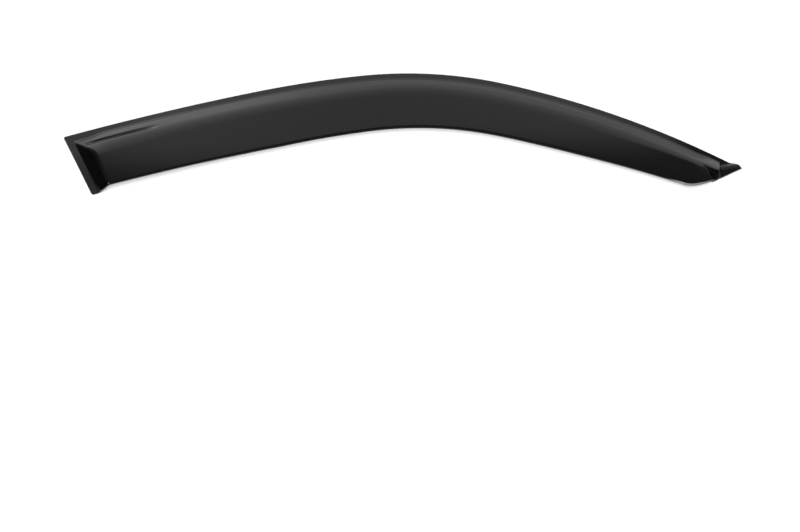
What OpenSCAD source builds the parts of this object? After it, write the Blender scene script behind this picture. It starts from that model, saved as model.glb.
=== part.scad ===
// Window rain deflector: a long smoked visor for the top of a car's front door window.
// It lies on its back: X runs from the rear end to the pointed front tip, Y goes up the door,
// and Z points outward from the glass. The lowest face is the back of the release liner.

/* [Top edge, seen from outside] */
// Heading of the top edge at the rear end, in degrees above X
rear_heading = 16; // [13:0.1:19]
// Length of the almost straight rear part
rear_run = 284; // [240:2:320]
// Length over which the edge starts to bend
bend_run = 150; // [120:2:180]
// Length of the tightly curved crown
crown_run = 205; // [170:5:230]
// Length of the falling front part
front_run = 357; // [320:2:380]
// Radius of the crown
crown_r = 616; // [560:4:720]

/* [Outline] */
// Width of the visor at its rear end
rear_w = 93.5; // [84:0.5:102]
// Width lost for each 100 mm past the start of the taper
taper = 2.95; // [2:0.05:4]
// How far the rear end leans, in degrees off square
rear_lean = 11.7; // [6:0.1:16]
// Angle between the lower tip edge and the top edge
tip_angle = 53; // [49:0.5:58]
// Radius of the two rear corners
corner_r = 2; // [1:0.5:4]

/* [Depth of the shell] */
// Wall of the moulded acrylic
wall = 2.8; // [2.2:0.1:3.4]
// Rise of the face above the flange at the rear end
rear_rise = 23; // [18:0.5:26]
// Rise of the face above the flange at the tip
tip_rise = 13; // [9:0.5:16]
// Extra bulge of the face towards the lower lip
face_bulge = 9; // [5:0.5:12]
// How far the lip rolls back towards the window
lip_roll = 1.2; // [0.8:0.1:2.2]

/* [Flange and tape] */
// Distance from the top edge to the foot of the shoulder
flange_w = 7.5; // [7.5:0.5:10]
// Extra flange width in the pad at the rear end
pad_extra = 3; // [2:0.5:5]
// Width of the foam tape
tape_w = 6; // [4:0.25:6]
// Thickness of the foam tape
tape_t = 1.1; // [0.8:0.1:1.6]
// Thickness of the release liner
liner_t = 0.15; // [0.1:0.05:0.3]

/* [Hidden] */

rear_r = 4000;
bend_r = 1470;
front_r = 1310;
taper_from = 300;
sweep_from = 686;
sweep_r = 2410;
tip_blend = 24;
pad_run = 62;
pad_step = 34;
tip_flange_w = 5.8;
narrow_from = 930;
narrow_run = 25;
shoulder_slope = 0.9;
rear_slope = 1;
rear_steepen = 0.35;
nose_slope = 2.5;
nose = 2;
nose_d = 18;
nose_fade = 3;
hollow = 3.5;
tip_slope = 0.75;
tip_twist = 0.06;
rear_flange_w = 9;
foot_soft = 0.9;
crest_soft = 9.5;
hip_soft = 3;
tip_soft = 3;
lip_run = 3;
tip_bulge = 1.5;
bulge_run = 22;
pad_back = 30.5;
pad_d = 10.5;
bead_h = 2;
bead_w = 2.6;
bead_turn = 0.2;
bead_soft = 3;
dart_d = 22.8;
dart_w = 3.8;
dart_h = 3;
dart_from = 28;
dart_to = 137;
tape_gap = 3;
edge_gap = 0.4;
tip_clear = 1.4;

back_z = liner_t + tape_t;
total = rear_run + bend_run + crown_run + front_run;
lean = tan(rear_lean);
skew_run = 150;
corner_run = 12;
rear_zone = 56;
tip_zone = 70;
fine_w = 52;

// A curve state is [x, y, heading]; this one follows an arc that bends down towards the tip.
function along(p, run, r) =
    let (h = p[2] - run / r * 180 / PI)
    [p[0] + r * (sin(p[2]) - sin(h)), p[1] + r * (cos(h) - cos(p[2])), h];

bend_start = along([0, 0, rear_heading], rear_run, rear_r);
crown_start = along(bend_start, bend_run, bend_r);
front_start = along(crown_start, crown_run, crown_r);

function edge(s) =
    s < rear_run ? along([0, 0, rear_heading], s, rear_r)
    : s < rear_run + bend_run ? along(bend_start, s - rear_run, bend_r)
    : s < total - front_run ? along(crown_start, s - rear_run - bend_run, crown_r)
    : along(front_start, s - total + front_run, front_r);

// Plan position at length s along the top edge and depth d below it.
function spot(s, d) =
    let (e = edge(s))
    [e[0] + d * sin(e[2]), e[1] - d * cos(e[2])];

function blend(a, b, soft) = pow(max(soft - abs(a - b), 0), 2) / (4 * soft);
function soft_min(a, b, soft) = min(a, b) - blend(a, b, soft);
function soft_max(a, b, soft) = max(a, b) + blend(a, b, soft);
function bump(x) = pow(max(1 - x * x, 0), 2);
function ease(x) = let (c = min(max(x, 0), 1)) c * c * (3 - 2 * c);

// Depth of the lower edge: a slow taper, a sweep at the front and the straight tip edge.
function lower(s) =
    let (drop = taper / 100 * max(s - taper_from, 0) + pow(max(s - sweep_from, 0), 2) / (2 * sweep_r))
    soft_min(rear_w - drop, tan(tip_angle) * (total - s), tip_blend);

// The top edge swells a little beside the tip pad.
function upper(s) = -tip_bulge * ease((s - total + bulge_run) / 12);

// Rise of the outer skin above the flange.
function raised(s, d) =
    let (
        x = d / max(lower(s), 1),
        face = rear_rise + (tip_rise - rear_rise) * s / total + face_bulge * x * (1 - 0.6 * x),
        narrow = (flange_w - tip_flange_w) * ease((s - narrow_from) / narrow_run),
        foot = flange_w + pad_extra * (1 - ease((s - pad_run + pad_step) / pad_step)) - narrow,
        shoulder = shoulder_slope * (d - foot),
        rear = rear_slope * (1 + rear_steepen * x) * ((s - lean * d) * cos(rear_lean) - rear_flange_w),
        hip = soft_min(soft_min(shoulder, face, crest_soft), rear, hip_soft),
        body = soft_max(soft_min(hip, tip_wall(s, d), tip_soft), 0, foot_soft),
        roll = lip_roll * pow(max(1 - (lower(s) - d) / lip_run, 0), 2) * min(body / 6, 1),
        t = (s - dart_from) / (dart_to - dart_from),
        slit = dart_h * bump((d - dart_d) / dart_w) * sqrt(max(4 * t * (1 - t), 0))
    )
    body - roll - slit * min(body / 6, 1) + bead(s, d);

// The wall at the tip ends the shoulder in a blunt nose, and the face in a slanting facet.
pad_corner = spot(total - pad_back, pad_d);
function tip_wall(s, d) =
    let (
        over = ease((d - nose_d) / nose_fade),
        facet = tip_slope + tip_twist * max(d - nose_d - nose_fade, 0),
        end = pad_corner[0] + nose - (nose + hollow) * over
    )
    (nose_slope + (facet - nose_slope) * over) * (end - spot(s, d)[0]);

// Low bead round the pad at the tip: up its rear side, and from there out over the top edge.
function bead(s, d) =
    let (
        p = spot(s, d) - pad_corner,
        inner = soft_min(p[0], bead_turn * p[0] - p[1], bead_soft)
    )
    bead_h * bump(inner / bead_w) * ease((d - upper(s)) / 2);

// The inner skin keeps the wall thickness square to the surface.
function inner_gap(s, d) =
    let (gs = raised(s + 0.5, d) - raised(s - 0.5, d), gd = raised(s, d + 0.5) - raised(s, d - 0.5))
    wall * sqrt(1 + gs * gs + gd * gd);

// Grid lines along the visor and across it.
function steps(a, b, n) = [for (i = [1:n]) a + (b - a) * i / n];
flat_w = flange_w - foot_soft / shoulder_slope;
rear_flat = (rear_flange_w - foot_soft / rear_slope) / cos(rear_lean);
stations = [0, each steps(0, rear_flat, 3), each steps(rear_flat, rear_zone, 18),
    each steps(rear_zone, total - tip_zone, 48), each steps(total - tip_zone, total, 36)];
crest_d = flange_w + rear_rise / shoulder_slope;
shelf = [0, each steps(0, flat_w, 2), each steps(flat_w, dart_d - dart_w, 6),
    each steps(dart_d - dart_w, dart_d + dart_w, 6), each steps(dart_d + dart_w, crest_d + crest_soft, 5)];
face_part = [0.24, 0.48, 0.7, 0.86, 0.94, 1];

function depths(s) =
    let (u = upper(s), w = lower(s), k = min(1, (w - u) / fine_w), last = u + k * shelf[len(shelf) - 1])
    [each [for (d = shelf) u + k * d], each [for (f = face_part) last + (w - last) * f]];

// The rear end leans, so the first stations slide with the depth and round the corners.
function slid(s, d) =
    let (
        in_corner = max(corner_r - min(d, lower(s) - d), 0),
        cut = corner_r - sqrt(max(corner_r * corner_r - in_corner * in_corner, 0))
    )
    s + lean * d * max(1 - s / skew_run, 0) + cut * max(1 - s / corner_run, 0);

function grid() = [for (s = stations) [for (d = depths(s)) [slid(s, d), d]]];
cells = grid();
rows = len(stations);
cols = len(shelf) + len(face_part);

// The part is centred on the box round its outline.
rim = [for (row = cells) each [spot(row[0][0], row[0][1]), spot(row[cols - 1][0], row[cols - 1][1])]];
xs = [for (p = rim) p[0]];
crown_top = max([for (i = [0:200]) edge(total * i / 200)[1]]);
ys = [for (p = rim) p[1]];
centre = [(min(xs) + max(xs)) / 2, (min(ys) + crown_top) / 2];

module shield() {
    color([0.13, 0.13, 0.14])
    translate([-centre[0], -centre[1], back_z])
    shell();
}

module shell() {
    outer = [for (row = cells) each [for (c = row) [each spot(c[0], c[1]), wall + raised(c[0], c[1])]]];
    inner = [for (row = cells) each [for (c = row)
        [each spot(c[0], c[1]), max(0, wall + raised(c[0], c[1]) - inner_gap(c[0], c[1]))]]];
    n = rows * cols;
    last = cols - 1;
    ends = n - cols;
    faces = [
        for (i = [0:rows - 2], j = [0:cols - 2])
            let (a = i * cols + j, b = a + cols, c = b + 1, e = a + 1)
            each [[a, b, c], [a, c, e], [n + a, n + c, n + b], [n + a, n + e, n + c]],
        for (i = [0:rows - 2])
            let (a = i * cols, b = a + cols, e = a + last, c = b + last)
            each [[b, a, n + a], [b, n + a, n + b], [e, c, n + c], [e, n + c, n + e]],
        for (j = [0:cols - 2])
            let (a = j, e = j + 1, b = ends + j, c = b + 1)
            each [[a, e, n + e], [a, n + e, n + a], [c, b, n + b], [c, n + b, n + c]]
    ];
    polyhedron(points = concat(outer, inner), faces = faces, convexity = 6);
}

// Plan outlines of the strips, each inside the flat back of the flange.
strip_w = min(tape_w, flat_w - edge_gap - 0.2);
strip_end = edge_gap + strip_w;
rear_s0 = corner_r + 1;
top_cut = rear_run + 16;
front_cut = total - front_run + 7;
front_end = total - 60;

function strip(s0, s1, lead) =
    let (n = 24, at = [for (i = [0:n]) s0 + (s1 - s0) * i / n])
    [
        for (s = at) spot(s + (s == s0 ? lead * edge_gap : 0), edge_gap),
        for (i = [n:-1:0]) spot(at[i] + (i == 0 ? lead * strip_end : 0), strip_end)
    ];

function rear_band() =
    let (d0 = strip_end + 1, d1 = rear_w - corner_r - 1, gap = edge_gap / cos(rear_lean), w = strip_w / cos(rear_lean))
    [for (c = [[gap, d0], [gap + w, d0], [gap + w, d1], [gap, d1]]) spot(lean * c[1] + c[0], c[1])];

function tip_band() =
    let (s0 = total - 30, s1 = total - 7, n = 10)
    [
        for (i = [0:n]) spot(s0 + (s1 - s0) * i / n, 5.5),
        for (i = [n:-1:0]) let (s = s0 + (s1 - s0) * i / n) spot(s, max(lower(s) - tip_clear, 6))
    ];

// The strip on the tip pad stays clear of the bead along two straight lines.
module tip_strip() {
    inset = bead_w + tip_clear;
    intersection() {
        polygon(tip_band());
        translate(pad_corner)
        polygon([[inset, (bead_turn - 1) * inset], [total, bead_turn * total - inset],
            [total, -total], [inset, -total]]);
    }
}

module sheet(z0, thick) {
    translate([-centre[0], -centre[1], z0])
    linear_extrude(height = thick)
    children();
}

module foam() {
    color([0.2, 0.2, 0.2]) sheet(liner_t, tape_t) children();
}

module film() {
    color([0.75, 0.1, 0.1]) sheet(0, liner_t) children();
}

rear_strip = rear_band();
top_rear_strip = strip(rear_s0, top_cut, lean);
crown_strip = strip(top_cut + tape_gap, front_cut, 0);
front_strip = strip(front_cut + tape_gap, front_end, 0);

module rear_end_tape() { foam() polygon(rear_strip); }
module top_rear_tape() { foam() polygon(top_rear_strip); }
module crown_tape() { foam() polygon(crown_strip); }
module front_tape() { foam() polygon(front_strip); }
module tip_tape() { foam() tip_strip(); }
module rear_end_liner() { film() polygon(rear_strip); }
module top_rear_liner() { film() polygon(top_rear_strip); }
module crown_liner() { film() polygon(crown_strip); }
module front_liner() { film() polygon(front_strip); }
module tip_liner() { film() tip_strip(); }

shield();
rear_end_tape();
top_rear_tape();
crown_tape();
front_tape();
tip_tape();
rear_end_liner();
top_rear_liner();
crown_liner();
front_liner();
tip_liner();
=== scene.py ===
import math
import bpy
import numpy as np
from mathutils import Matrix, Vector


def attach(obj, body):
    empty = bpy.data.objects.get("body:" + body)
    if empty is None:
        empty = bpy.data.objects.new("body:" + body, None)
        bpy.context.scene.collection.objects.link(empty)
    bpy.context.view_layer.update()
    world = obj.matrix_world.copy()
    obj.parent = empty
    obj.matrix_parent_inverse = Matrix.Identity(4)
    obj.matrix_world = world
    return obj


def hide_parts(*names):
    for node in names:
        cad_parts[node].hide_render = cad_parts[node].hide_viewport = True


# A smoked window deflector on a white table, seen from almost straight above.
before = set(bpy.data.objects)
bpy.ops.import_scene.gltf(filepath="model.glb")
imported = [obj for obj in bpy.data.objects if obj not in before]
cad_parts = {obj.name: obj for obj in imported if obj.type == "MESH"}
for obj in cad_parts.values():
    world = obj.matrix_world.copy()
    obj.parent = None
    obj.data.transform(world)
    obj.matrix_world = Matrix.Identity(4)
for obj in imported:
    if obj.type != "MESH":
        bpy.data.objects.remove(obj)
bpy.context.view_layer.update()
mm = 0.001
print("frame loaded with", len(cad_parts), "solids")


class Sock:
    # an output socket, wrapped so that sums on it read as sums

    def __init__(self, tree, out):
        self.tree = tree
        self.out = out

    def part(self, index):
        return Sock(self.tree, self.out.node.outputs[index])

    def calc(self, operation, *values):
        return addNode(self.tree, "ShaderNodeMath", {"operation": operation}, dict(enumerate(values)))

    def __add__(self, other):
        return self.calc("ADD", self, other)

    def __radd__(self, other):
        return self.calc("ADD", other, self)

    def __sub__(self, other):
        return self.calc("SUBTRACT", self, other)

    def __rsub__(self, other):
        return self.calc("SUBTRACT", other, self)

    def __mul__(self, other):
        return self.calc("MULTIPLY", self, other)

    def __rmul__(self, other):
        return self.calc("MULTIPLY", other, self)

    def __abs__(self):
        return self.calc("ABSOLUTE", self)

    def atLeast(self, low):
        return self.calc("MAXIMUM", self, low)


def addNode(tree, kind, settings=None, inputs=None, output=0):
    # settings come first, then the values or links of the sockets
    node = tree.nodes.new(kind)
    for name, value in (settings or {}).items():
        setattr(node, name, value)
    for name, value in (inputs or {}).items():
        if isinstance(value, Sock):
            tree.links.new(value.out, node.inputs[name])
        else:
            node.inputs[name].default_value = value
    return Sock(tree, node.outputs[output] if len(node.outputs) else None)


def newTree(owner):
    owner.use_nodes = True
    owner.node_tree.nodes.clear()
    return owner.node_tree


def objectCoords(tree, scale=(1, 1, 1), turn=0.0):
    # Object coordinates, turned about Z and stretched
    place = addNode(tree, "ShaderNodeTexCoord", output=3)
    values = {"Vector": place, "Scale": scale, "Rotation": (0, 0, turn)}
    return addNode(tree, "ShaderNodeMapping", inputs=values)


def noise(tree, vector, scale, detail=2.0):
    return addNode(tree, "ShaderNodeTexNoise", inputs={"Vector": vector, "Scale": scale, "Detail": detail})


def easedStep(value, low, high):
    # 0 up to low, 1 from high on, and a smooth step between them
    limits = {"Value": value, "From Min": low, "From Max": high}
    return addNode(value.tree, "ShaderNodeMapRange", {"interpolation_type": "SMOOTHSTEP"}, limits)


def mixColour(share, first, second):
    inputs = {0: share, 6: first if isinstance(first, Sock) else (*first, 1), 7: (*second, 1)}
    return addNode(share.tree, "ShaderNodeMix", {"data_type": "RGBA"}, inputs, output=2)


def bumped(tree, height, strength, distance):
    values = {"Strength": strength, "Distance": distance, "Height": height}
    return addNode(tree, "ShaderNodeBump", inputs=values)


# smoked acrylic: near black and polished, with dust and wiping marks; greyer with painted sheen on the
# flange, over the dart and along the bead, and a painted highlight in light grey on the front lip's cut edge
acrylic = {
    "smoke": (0.0026, 0.0026, 0.0029),
    "dust": (0.012, 0.012, 0.0125),
    "smear": 0.2, "smearScale": 8.0,                                 # dust in broad smears
    "speck": 0.5, "speckScale": 900.0, "speckStep": (0.66, 0.78),    # and in specks
    "behind": (0.031, 0.031, 0.032),                                 # painted sheen, greyer: on the flange, in the streak over the dart and along the bead
    "sheenEven": 0.85, "sheenWiped": 0.3,
    "trimGlint": (0.34, 0.34, 0.345),                                  # painted highlight, light grey, on the front lip's cut edge, which is also rougher
    "glintEven": 0.7, "glintWiped": 0.3,
    "wipeScale": 26.0, "wipeStretch": (0.3, 1.0, 1.0), "wipeTurn": 0.1,
    "polish": 0.06, "wipeRough": 0.06, "speckRough": 0.05, "trimRough": 0.4,
    "hardCoat": 0.3,
    "ripple": 0.05, "rippleScale": 20.0, "rippleStrength": 0.3,      # waviness of the face, in millimetres
    "index": 1.49,
}


def acrylicMaterial():
    material = bpy.data.materials.new("smoked_acrylic")
    tree = newTree(material)
    drawn = objectCoords(tree, scale=acrylic["wipeStretch"], turn=acrylic["wipeTurn"])
    wiped = noise(tree, drawn, acrylic["wipeScale"], 5.0)
    smears = noise(tree, drawn, acrylic["smearScale"], 3.0)
    specks = easedStep(noise(tree, objectCoords(tree), acrylic["speckScale"]), *acrylic["speckStep"])
    paintedSheen = addNode(tree, "ShaderNodeAttribute", {"attribute_name": "paintedSheen"}, output=2)
    trimGlint = addNode(tree, "ShaderNodeAttribute", {"attribute_name": "trimGlint"}, output=2)
    dusted = smears * acrylic["smear"] + specks * acrylic["speck"]
    # painted sheen: the shield turns greyer on the flange, over the dart and along the bead
    sheenMask = paintedSheen * (acrylic["sheenEven"] + acrylic["sheenWiped"] * wiped)
    # painted highlight: the front lip's cut edge painted light grey
    edgeGlint = trimGlint * (acrylic["glintEven"] + acrylic["glintWiped"] * wiped)
    colour = mixColour(dusted, acrylic["smoke"], acrylic["dust"])
    colour = mixColour(sheenMask, colour, acrylic["behind"])
    rough = acrylic["polish"] + acrylic["wipeRough"] * wiped
    rough = rough + acrylic["speckRough"] * specks + acrylic["trimRough"] * trimGlint
    waves = noise(tree, drawn, acrylic["rippleScale"], 1.0)
    shader = addNode(tree, "ShaderNodeBsdfPrincipled", inputs={
        "Base Color": mixColour(edgeGlint, colour, acrylic["trimGlint"]),
        "Roughness": rough,
        "IOR": acrylic["index"],
        "Coat Weight": acrylic["hardCoat"],
        "Normal": bumped(tree, waves, acrylic["rippleStrength"], acrylic["ripple"] * mm),
    })
    addNode(tree, "ShaderNodeOutputMaterial", inputs={"Surface": shader})
    return material


# foam tape: matt, with fine open cells
foam = {
    "tint": (0.022, 0.022, 0.024), "worn": (0.05, 0.05, 0.052), "blotches": 60.0,
    "rough": 0.82, "rougher": 0.1,
    "cells": 1500.0, "pore": 0.2, "poreStrength": 0.7,
}


def foamMaterial():
    material = bpy.data.materials.new("foam_tape")
    tree = newTree(material)
    plain = objectCoords(tree)
    cells = addNode(tree, "ShaderNodeTexVoronoi", {"feature": "DISTANCE_TO_EDGE"},
                    {"Vector": plain, "Scale": foam["cells"]})
    blotch = noise(tree, plain, foam["blotches"], 3.0)
    shader = addNode(tree, "ShaderNodeBsdfPrincipled", inputs={
        "Base Color": mixColour(blotch, foam["tint"], foam["worn"]),
        "Roughness": foam["rough"] + foam["rougher"] * blotch,
        "Normal": bumped(tree, cells, foam["poreStrength"], foam["pore"] * mm),
    })
    addNode(tree, "ShaderNodeOutputMaterial", inputs={"Surface": shader})
    return material


# release film: satin red, slightly creased across the strip
film = {
    "tint": (0.52, 0.022, 0.016), "deep": (0.36, 0.012, 0.010),
    "grain": 420.0, "grainTint": 0.6, "grainHeight": 0.2,
    "creases": 55.0, "creaseStretch": (3.0, 1.0, 1.0), "creaseTurn": 0.5, "creaseTint": 0.3,
    "polish": 0.3, "duller": 0.15,
    "crease": 0.1, "creaseStrength": 0.5,
}


def filmMaterial():
    material = bpy.data.materials.new("liner_film")
    tree = newTree(material)
    grain = noise(tree, objectCoords(tree), film["grain"])
    drawn = objectCoords(tree, scale=film["creaseStretch"], turn=film["creaseTurn"])
    creases = noise(tree, drawn, film["creases"], 3.0)
    deeper = grain * film["grainTint"] + creases * film["creaseTint"]
    height = creases + grain * film["grainHeight"]
    shader = addNode(tree, "ShaderNodeBsdfPrincipled", inputs={
        "Base Color": mixColour(deeper, film["tint"], film["deep"]),
        "Roughness": film["polish"] + film["duller"] * creases,
        "Normal": bumped(tree, height, film["creaseStrength"], film["crease"] * mm),
    })
    addNode(tree, "ShaderNodeOutputMaterial", inputs={"Surface": shader})
    return material


# the shield has the form of the CAD shell on a finer grid; s runs along its top edge from the rear end,
# d down from that edge, all in millimetres and degrees
shield = {
    "rearHeading": 16,                                             # heading of the top edge at the rear end
    "arcs": [(284, 4000), (150, 1470), (205, 616), (357, 1310)],   # length and radius of its arcs
    "rearWidth": 93.5, "taper": 0.0295, "taperFrom": 300, "sweepFrom": 686, "sweepRadius": 2410,
    "rearLean": 11.7, "leanRun": 150, "tipAngle": 53, "tipBlend": 24, "cornerRadius": 3, "cornerRun": 12,
    "wall": 2.8, "backHeight": 1.25,
    "rearRise": 23, "tipRise": 12, "faceBulge": 9, "bulgeFall": 0.6, "lipRoll": 1.2, "lipRun": 3,
    "flange": 7.5, "padExtra": 3, "padRun": 62, "padStep": 34, "rearFlange": 9,
    "tipFlange": 5.8, "narrowFrom": 930, "narrowRun": 25,
    "shoulderSlope": 0.9, "rearSlope": 1.0, "rearSteepen": 0.35,
    "tightenFrom": 780, "tightenRun": 190, "tighten": 0.5,         # the crest is tighter towards the front
    "noseSlope": 2.8, "nose": 3, "noseDepth": 21.5, "noseFade": 3,   # the shoulder ends in a blunt nose
    "tipSlope": 0.75, "tipTwist": 0.06, "hollow": 3.5,             # the face ends in a hollow facet
    "footSoft": 0.9, "crestSoft": 9.5, "hipSoft": 3, "tipSoft": 3,
    "padBack": 29, "padDepth": 14.3,                               # the corner of the tip pad
    "beadHeight": 3.0, "beadWidth": 3.8, "beadSlope": 1.0, "beadTurn": 0.15, "beadCorner": 3,
    "beadSoft": 0.8, "beadFoot": 0.6, "beadEnd": 0.8,
    "tipBulge": 3.2, "bulgeFrom": 20, "bulgeRun": 12, "tipRound": 7,
    "dartDepth": 22.8, "dartWidth": 3.8, "dartSink": 3, "dartFrom": 28, "dartTo": 132, "dartBlunt": 0.35,
    "fullFrom": 6,                                                 # rise from which dart and lip are full
    "trim": 2, "trimFrom": 900, "trimRun": 25, "trimLeft": 0.35, "trimFade": 950, "trimFadeRun": 20,
    "rearRows": 84, "rearZone": 56, "middleRows": 150, "tipRows": 96, "tipZone": 70,
    "columns": 92, "crowd": 0.045,                                 # lines crowd towards both edges
    "rimRound": 0.45, "rimSteps": 5,
}
totalRun = sum(run for run, radius in shield["arcs"])
lean = math.tan(math.radians(shield["rearLean"]))


def edgeAt(s):
    # a chain of arcs: each starts with the heading that the last one ended with, and bends down
    heading = np.full_like(s, math.radians(shield["rearHeading"]))
    x, y, rest = np.zeros_like(s), np.zeros_like(s), s
    last = len(shield["arcs"]) - 1
    for index, (run, radius) in enumerate(shield["arcs"]):
        part = np.clip(rest, -np.inf if index == 0 else 0, np.inf if index == last else run)
        turned = heading - part / radius
        x = x + radius * (np.sin(heading) - np.sin(turned))
        y = y + radius * (np.cos(turned) - np.cos(heading))
        heading, rest = turned, rest - run
    return x, y, heading


def spotAt(s, d):
    # the point d below the top edge, square to it
    x, y, heading = edgeAt(s)
    return x + d * np.sin(heading), y - d * np.cos(heading)


def blend(a, b, soft):
    return np.maximum(soft - np.abs(a - b), 0) ** 2 / (4 * soft)


def softMin(a, b, soft):
    return np.minimum(a, b) - blend(a, b, soft)


def softMax(a, b, soft):
    return np.maximum(a, b) + blend(a, b, soft)


def ease(x):
    x = np.clip(x, 0, 1)
    return x * x * (3 - 2 * x)


def hump(x):
    # 1 in the middle, and flat at 0 from 1 on
    return np.maximum(1 - x * x, 0) ** 2


def lowerEdge(s):
    # the full width, less a straight taper and a parabola, cut off by the straight edge of the tip
    taper = shield["taper"] * np.maximum(s - shield["taperFrom"], 0)
    sweep = np.maximum(s - shield["sweepFrom"], 0) ** 2 / (2 * shield["sweepRadius"])
    tipEdge = math.tan(math.radians(shield["tipAngle"])) * (totalRun - s)
    return softMin(shield["rearWidth"] - taper - sweep, tipEdge, shield["tipBlend"])


def upperEdge(s):
    # the top edge swells beside the tip pad, and comes back in a quarter round at the very tip
    left = np.clip((totalRun - s) / shield["tipRound"], 0, 1)
    swell = ease((s - totalRun + shield["bulgeFrom"]) / shield["bulgeRun"])
    return -shield["tipBulge"] * swell * np.sqrt(1 - (1 - left) ** 2)


padCorner = spotAt(np.array([totalRun - shield["padBack"]], dtype=float), shield["padDepth"])


def padInside(s, d):
    # how far a point lies inside the tip pad: 0 along the bead, which runs down and along the top of the pad
    x, y = spotAt(s, d)
    right = x - padCorner[0]
    return softMin(right, padCorner[1] - y + shield["beadTurn"] * right, shield["beadCorner"])


def bodyAt(s, d):
    # the least of face, shoulder, rear wall and tip wall, and never below the flange
    share = d / np.maximum(lowerEdge(s), 1)
    face = shield["rearRise"] + (shield["tipRise"] - shield["rearRise"]) * s / totalRun
    face = face + shield["faceBulge"] * share * (1 - shield["bulgeFall"] * share)
    step = 1 - ease((s - shield["padRun"] + shield["padStep"]) / shield["padStep"])
    narrow = ease((s - shield["narrowFrom"]) / shield["narrowRun"])
    foot = shield["flange"] + shield["padExtra"] * step
    foot = foot + (shield["tipFlange"] - shield["flange"]) * narrow
    shoulder = shield["shoulderSlope"] * (d - foot)
    tighten = shield["tighten"] * ease((s - shield["tightenFrom"]) / shield["tightenRun"])
    crestSoft = shield["crestSoft"] * (1 - tighten)
    fromRear = (s - lean * d) * math.cos(math.radians(shield["rearLean"])) - shield["rearFlange"]
    rearWall = shield["rearSlope"] * (1 + shield["rearSteepen"] * share) * fromRear
    hip = softMin(softMin(shoulder, face, crestSoft), rearWall, shield["hipSoft"])
    return softMax(softMin(hip, tipWallAt(s, d), shield["tipSoft"]), 0, shield["footSoft"])


def tipWallAt(s, d):
    # steep where it ends the shoulder, and a slanting facet where it ends the face
    beyond = d - shield["noseDepth"]
    across = ease(beyond / shield["noseFade"])
    facet = shield["tipSlope"] + shield["tipTwist"] * np.maximum(beyond - shield["noseFade"], 0)
    slope = shield["noseSlope"] + (facet - shield["noseSlope"]) * across
    end = padCorner[0] + shield["nose"] - (shield["nose"] + shield["hollow"]) * across
    return slope * (end - spotAt(s, d)[0])


def riseAt(s, d):
    # the body, less the rolled lip and the dart, or the bead round the tip pad where that is higher
    body = bodyAt(s, d)
    roll = shield["lipRoll"] * np.maximum(1 - (lowerEdge(s) - d) / shield["lipRun"], 0) ** 2
    t = (s - shield["dartFrom"]) / (shield["dartTo"] - shield["dartFrom"])
    dart = shield["dartSink"] * hump((d - shield["dartDepth"]) / shield["dartWidth"])
    dart = dart * np.maximum(4 * t * (1 - t), 0) ** shield["dartBlunt"]
    body = body - (roll + dart) * np.minimum(body / shield["fullFrom"], 1)
    flank = shield["beadSlope"] * (shield["beadWidth"] - np.abs(padInside(s, d)))
    edge = 1 - ease((d - upperEdge(s)) / shield["beadEnd"])
    bead = softMin(shield["beadHeight"], flank, shield["beadSoft"]) - shield["beadHeight"] * edge
    return softMax(body, bead, shield["beadFoot"])


def trimAt(s):
    # how far the trimmed edge of the lip slopes inwards: only round the front, and least at the very tip
    fade = 1 - (1 - shield["trimLeft"]) * ease((s - shield["trimFade"]) / shield["trimFadeRun"])
    return shield["trim"] * ease((s - shield["trimFrom"]) / shield["trimRun"]) * fade


def shieldGrid(inset):
    # every point of one skin: s with the rear end leant over and its corners rounded, d, and the distance
    # to the outline; lines lie close together at both ends and both edges, and follow a quarter round there
    r, total = shield["rimRound"], totalRun
    ring = r * (1 - np.cos(np.linspace(0, math.pi / 2, shield["rimSteps"])))
    rearZone, tipZone = shield["rearZone"], total - shield["tipZone"]
    rear = np.linspace(r, rearZone, shield["rearRows"], endpoint=False)
    middle = np.linspace(rearZone, tipZone, shield["middleRows"], endpoint=False)
    tip = np.linspace(tipZone, total - r, shield["tipRows"], endpoint=False)
    station = np.concatenate([ring[:-1], rear, middle, tip, total - ring[::-1]])[:, None]
    across = np.linspace(0, 1, shield["columns"])
    across = across - shield["crowd"] * np.sin(2 * math.pi * across)
    slope = (lowerEdge(station + 0.1) - lowerEdge(station - 0.1)) / 0.2
    square = 1 / np.sqrt(1 + slope ** 2)
    top = upperEdge(station)
    low = lowerEdge(station) - inset(station) / square
    field = top + r + (low - r / square - top - r) * across
    d = np.concatenate([top + ring[:-1], field, low - ring[-2::-1] / square], 1)
    toEdge = np.minimum(d - top, (low - d) * square)
    toEnd = np.minimum(station * math.cos(math.radians(shield["rearLean"])), total - station)
    radius = shield["cornerRadius"]
    corner = np.maximum(radius - np.minimum(d, low - d), 0)
    cut = radius - np.sqrt(np.maximum(radius ** 2 - corner ** 2, 0))
    s = station + lean * d * np.maximum(1 - station / shield["leanRun"], 0)
    s = s + cut * np.maximum(1 - station / shield["cornerRun"], 0)
    return s, d, np.minimum(toEdge, toEnd)


def rimDrop(distance):
    # a quarter round along the outline
    r = shield["rimRound"]
    return r - np.sqrt(np.maximum(r ** 2 - (r - np.minimum(distance, r)) ** 2, 0))


def outerSkin(s, d, distance):
    # one wall and the rise above the back
    x, y = spotAt(s, d)
    return np.stack([x, y, shield["wall"] + riseAt(s, d) - rimDrop(distance)], -1)


def innerSkin(s, d, distance):
    # a wall below the outer skin, square to the face, and never below the back
    x, y = spotAt(s, d)
    along = riseAt(s + 0.5, d) - riseAt(s - 0.5, d)
    down = riseAt(s, d + 0.5) - riseAt(s, d - 0.5)
    gap = shield["wall"] * np.sqrt(1 + along ** 2 + down ** 2)
    height = np.maximum(shield["wall"] + riseAt(s, d) - gap, 0)
    return np.stack([x, y, height + rimDrop(distance)], -1)


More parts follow.
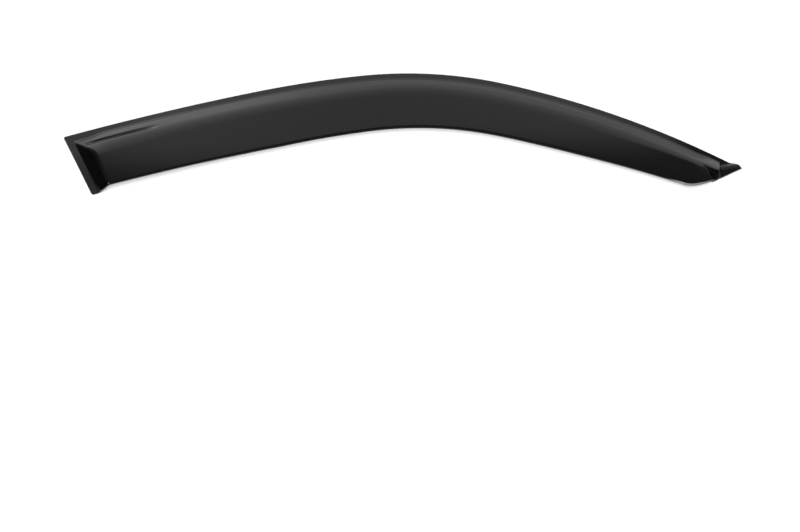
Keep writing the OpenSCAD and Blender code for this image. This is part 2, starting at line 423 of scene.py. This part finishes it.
# where the shield is painted greyer as sheen: on the flange, most near the rear end; a painted highlight
# streak over the dart; a painted highlight along the bead
sheenPaint = {
    "flat": 1, "flatRun": 1.6,
    "least": 0.42, "more": 0.78, "moreAt": 60, "moreRun": 220,
    "stopAt": 880, "stopRun": 50, "downLoss": 0.55, "downRun": 80,
    "streak": 0.85, "streakAt": 75, "streakRun": 95, "streakDepth": 12.8, "streakWidth": 7,
    "bead": 0.7, "beadWidth": 2.6,
}


def paintedSheenShare(s, d):
    # the painted sheen: a share on the flange where it lies flat, and two humps of painted highlight, over
    # the dart and along the bead
    flange = 1 - ease((bodyAt(s, d) - sheenPaint["flat"]) / sheenPaint["flatRun"])
    flange = flange * (sheenPaint["least"] + sheenPaint["more"] * hump((s - sheenPaint["moreAt"]) / sheenPaint["moreRun"]))
    flange = flange * (1 - ease((s - sheenPaint["stopAt"]) / sheenPaint["stopRun"]))
    flange = flange * (1 - sheenPaint["downLoss"] * ease(d / sheenPaint["downRun"]))
    streak = sheenPaint["streak"] * hump((s - sheenPaint["streakAt"]) / sheenPaint["streakRun"])
    streak = streak * hump((d - sheenPaint["streakDepth"]) / sheenPaint["streakWidth"])
    return flange + streak + sheenPaint["bead"] * hump(padInside(s, d) / sheenPaint["beadWidth"])


def closedShell(rows, columns):
    # quads over both skins and the four rims, wound so that they face outwards
    index = np.arange(rows * columns).reshape(rows, columns)
    under = index + rows * columns

    def quads(a, b, c, d):
        return np.stack([a, b, c, d], -1).reshape(-1, 4)

    return np.concatenate([
        quads(index[:-1, :-1], index[:-1, 1:], index[1:, 1:], index[1:, :-1]),
        quads(under[:-1, :-1], under[1:, :-1], under[1:, 1:], under[:-1, 1:]),
        quads(index[:-1, 0], index[1:, 0], under[1:, 0], under[:-1, 0]),
        quads(index[1:, -1], index[:-1, -1], under[:-1, -1], under[1:, -1]),
        quads(index[0, 1:], index[0, :-1], under[0, :-1], under[0, 1:]),
        quads(index[-1, :-1], index[-1, 1:], under[-1, 1:], under[-1, :-1]),
    ])


def newPiece(name, points, faces, material):
    mesh = bpy.data.meshes.new(name)
    mesh.vertices.add(len(points))
    mesh.vertices.foreach_set("co", (points * mm).astype(np.float32).ravel())
    mesh.loops.add(faces.size)
    mesh.loops.foreach_set("vertex_index", faces.astype(np.int32).ravel())
    mesh.polygons.add(len(faces))
    mesh.polygons.foreach_set("loop_start", np.arange(0, faces.size, 4, dtype=np.int32))
    mesh.polygons.foreach_set("use_smooth", np.ones(len(faces), dtype=bool))
    mesh.update(calc_edges=True)
    mesh.materials.append(material)
    piece = bpy.data.objects.new(name, mesh)
    bpy.context.collection.objects.link(piece)
    return piece


def addShare(piece, name, values):
    shares = piece.data.attributes.new(name, "FLOAT", "POINT")
    shares.data.foreach_set("value", values.astype(np.float32).ravel())


def buildShield(material):
    s, d, distance = shieldGrid(trimAt)
    innerS, innerD, innerDistance = shieldGrid(lambda station: 0 * station)
    skins = [outerSkin(s, d, distance), innerSkin(innerS, innerD, innerDistance)]
    points = np.concatenate([skin.reshape(-1, 3) for skin in skins])
    crown = edgeAt(np.linspace(0, totalRun, 4001))[1].max()
    low = points.min(axis=0)
    middle = np.array([(low[0] + points[:, 0].max()) / 2, (low[1] + crown) / 2, -shield["backHeight"]])
    piece = newPiece("shield_skin", points - middle, closedShell(*s.shape), material)
    # painted sheen and painted highlights, on the outer skin only
    paintedSheen = paintedSheenShare(s, d)
    addShare(piece, "paintedSheen", np.stack([paintedSheen, 0 * paintedSheen]))
    # the painted highlight on the front lip's cut edge, as strong as the edge is trimmed
    trimGlint = 0 * paintedSheen
    trimGlint[:, -1] = trimAt(s[:, -1]) / shield["trim"]
    addShare(piece, "trimGlint", np.stack([trimGlint, trimGlint]))
    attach(piece, "root")
    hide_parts("shield")
    print("shield built with", len(piece.data.polygons), "quads")


def dressStrips(foamTape, linerFilm):
    for name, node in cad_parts.items():
        if name != "shield":
            node.data.materials.clear()
            node.data.materials.append(linerFilm if name.endswith("liner") else foamTape)
    print("strips dressed")


buildShield(acrylicMaterial())
dressStrips(foamMaterial(), filmMaterial())


# a white table that still takes a shadow; what gloss sees of it is bright behind the deflector, brightest
# at both ends, dark past its ends and beside the tip, and bright again in front of it
table = {
    "half": 3.0, "tint": 0.97, "dusty": 0.95, "dustScale": 3.0,
    "glow": 0.38,                                    # share of plain white that the camera sees
    "glowRun": (0.6, 2.0),                           # that share is all of it from so far out, squared
    "backEdge": 0.02, "backSoft": (-0.04, 0.02), "endEdge": 0.50, "slant": 0.9, "tipward": 0.16,
    "mirrored": 0.66, "mirroredEnds": 0.34, "rearBright": (0.08, 0.3), "frontBright": (0.435, 0.455),
    "besideTip": (0.476, 0.486), "besideTurn": 0.3, "besideBack": (-0.04, -0.02),
    "pastTip": (0.495, 0.505), "pastBack": (0.06, 0.12),
    "frontEdge": (0.045, 0.06), "frontStart": (-0.46, -0.44), "frontStop": (0.36, 0.40),
}


def mirroredLevel(x, y):
    # a field behind the deflector, less two pieces near the tip, plus a field in front
    past = (abs(x) - table["endEdge"]).atLeast(0.0)
    behind = y + table["tipward"] * x.atLeast(0.0) - table["backEdge"] - table["slant"] * past
    behind = easedStep(behind, *table["backSoft"])
    beside = easedStep(x + table["besideTurn"] * y, *table["besideTip"])
    behind = behind * (1 - beside * (1 - easedStep(y, *table["besideBack"])))
    behind = behind * (1 - easedStep(x, *table["pastTip"]) * (1 - easedStep(y, *table["pastBack"])))
    ends = easedStep(0 - x, *table["rearBright"]) + easedStep(x, *table["frontBright"])
    front = easedStep(0 - y, *table["frontEdge"]) * easedStep(x, *table["frontStart"])
    front = front * (1 - easedStep(x, *table["frontStop"]))
    return behind * (table["mirrored"] + table["mirroredEnds"] * ends) + front


def tableMaterial():
    material = bpy.data.materials.new("table_top")
    tree = newTree(material)
    place = objectCoords(tree)
    x = addNode(tree, "ShaderNodeSeparateXYZ", inputs={0: place})
    y = x.part(1)
    camera = addNode(tree, "ShaderNodeLightPath")
    glossy, clear = camera.part(3), camera.part(6)
    tints = [(table[name],) * 3 for name in ("tint", "dusty")]
    dusted = mixColour(noise(tree, place, table["dustScale"]), *tints)
    matt = addNode(tree, "ShaderNodeBsdfDiffuse", inputs={"Color": dusted})
    level = camera + clear + glossy * mirroredLevel(x, y)
    glow = addNode(tree, "ShaderNodeEmission", inputs={"Strength": level})
    far = easedStep(x * x + y * y, *table["glowRun"])
    share = camera * (table["glow"] + (1 - table["glow"]) * far) + glossy + clear
    shader = addNode(tree, "ShaderNodeMixShader", inputs={0: share, 1: matt, 2: glow})
    addNode(tree, "ShaderNodeOutputMaterial", inputs={"Surface": shader})
    return material


def buildTable():
    h = table["half"]
    mesh = bpy.data.meshes.new("table")
    mesh.from_pydata([(-h, -h, 0), (h, -h, 0), (h, h, 0), (-h, h, 0)], [], [(0, 1, 2, 3)])
    mesh.materials.append(tableMaterial())
    sheet = bpy.data.objects.new("table", mesh)
    bpy.context.collection.objects.link(sheet)


# the studio: one broad soft window high behind the deflector, dim cards in front, and a lamp overhead for
# the shadow
studio = {
    "dim": 0.10, "dimAhead": 0.7, "ahead": (0.5, 0.8),               # dimmer past the front tip
    "window": 0.60, "windowSides": 0.8, "windowRear": 0.2, "windowLow": 0.3,
    "windowEdge": 0.18, "windowPinch": 6.3, "windowSoft": (-0.05, 0.10),
    "front": 0.35, "frontNear": (0.55, 0.95), "frontSide": (-0.3, 0.0),
    "low": 0.35, "lowFoot": (0.16, 0.28), "lowTop": (0.46, 0.6), "lowBack": (-0.3, 0.0),   # seen from behind
    "lampPower": 180.0, "lampSize": 1.4, "lampPlace": (0.0, -0.85, 4.0),
    "glintPower": 7.0, "glintSize": 0.25, "glintAway": 1.5, "glintWay": (-0.72, -0.32, 0.58),
}


def buildWorld():
    # the window's lower edge rises with the square of the sideways direction, so it narrows to both ends
    world = bpy.data.worlds.new("studio")
    bpy.context.scene.world = world
    tree = newTree(world)
    x = addNode(tree, "ShaderNodeSeparateXYZ", inputs={0: addNode(tree, "ShaderNodeTexCoord")})
    y, z = x.part(1), x.part(2)
    edge = y - z * (studio["windowEdge"] + studio["windowPinch"] * x * x)
    level = studio["window"] + studio["windowSides"] * abs(x) - studio["windowRear"] * x
    level = level + studio["windowLow"] * (1 - z)
    window = easedStep(edge, *studio["windowSoft"]) * (level - studio["dim"])
    dim = studio["dim"] * (1 - studio["dimAhead"] * easedStep(x, *studio["ahead"]))
    front = easedStep(0 - y, *studio["frontNear"]) * easedStep(0 - x, *studio["frontSide"])
    low = easedStep(z, *studio["lowFoot"]) * (1 - easedStep(z, *studio["lowTop"]))
    low = low * (1 - easedStep(y, *studio["lowBack"]))
    strength = dim + window + front * studio["front"] + low * studio["low"]
    ray = addNode(tree, "ShaderNodeLightPath")
    lit = addNode(tree, "ShaderNodeBackground", inputs={"Strength": strength})
    white = addNode(tree, "ShaderNodeBackground", inputs={"Color": (1, 1, 1, 1), "Strength": 1.0})
    shader = addNode(tree, "ShaderNodeMixShader", inputs={0: ray, 1: lit, 2: white})
    addNode(tree, "ShaderNodeOutputWorld", inputs={"Surface": shader})


def addLamp(name, size, power, place, glossy):
    # a square lamp that faces the deflector and that the camera doesn't see
    light = bpy.data.lights.new(name, "AREA")
    light.size = size
    light.energy = power
    lamp = bpy.data.objects.new(name, light)
    lamp.location = place
    lamp.rotation_euler = Vector(place).to_track_quat("Z", "Y").to_euler()
    lamp.visible_camera = False
    lamp.visible_glossy = glossy
    bpy.context.collection.objects.link(lamp)
    return lamp


def buildLamps():
    addLamp("overhead", studio["lampSize"], studio["lampPower"], studio["lampPlace"], False)
    place = Vector(studio["glintWay"]).normalized() * studio["glintAway"]
    glint = addLamp("glint", studio["glintSize"], studio["glintPower"], place, True)
    glint.visible_diffuse = False


# where the camera stands: degrees above the table, and metres from the point it looks at
view = {
    "elevation": 77.0, "distance": 2.4836, "target": (-0.0033, -0.1923, 0.0),
    "lens": 80.0, "sensor": 36.0,
}


def buildCamera():
    tilt = math.radians(view["elevation"])
    lens = bpy.data.cameras.new("view")
    lens.lens = view["lens"]
    lens.sensor_width = view["sensor"]
    camera = bpy.data.objects.new("view", lens)
    away = np.array([0, -math.cos(tilt), math.sin(tilt)])
    camera.location = np.array(view["target"]) + away * view["distance"]
    camera.rotation_euler = (math.pi / 2 - tilt, 0, 0)
    bpy.context.collection.objects.link(camera)
    bpy.context.scene.camera = camera


buildTable()
buildWorld()
buildLamps()
buildCamera()
bpy.context.scene.view_settings.view_transform = "Standard"
print("table, studio and camera set")
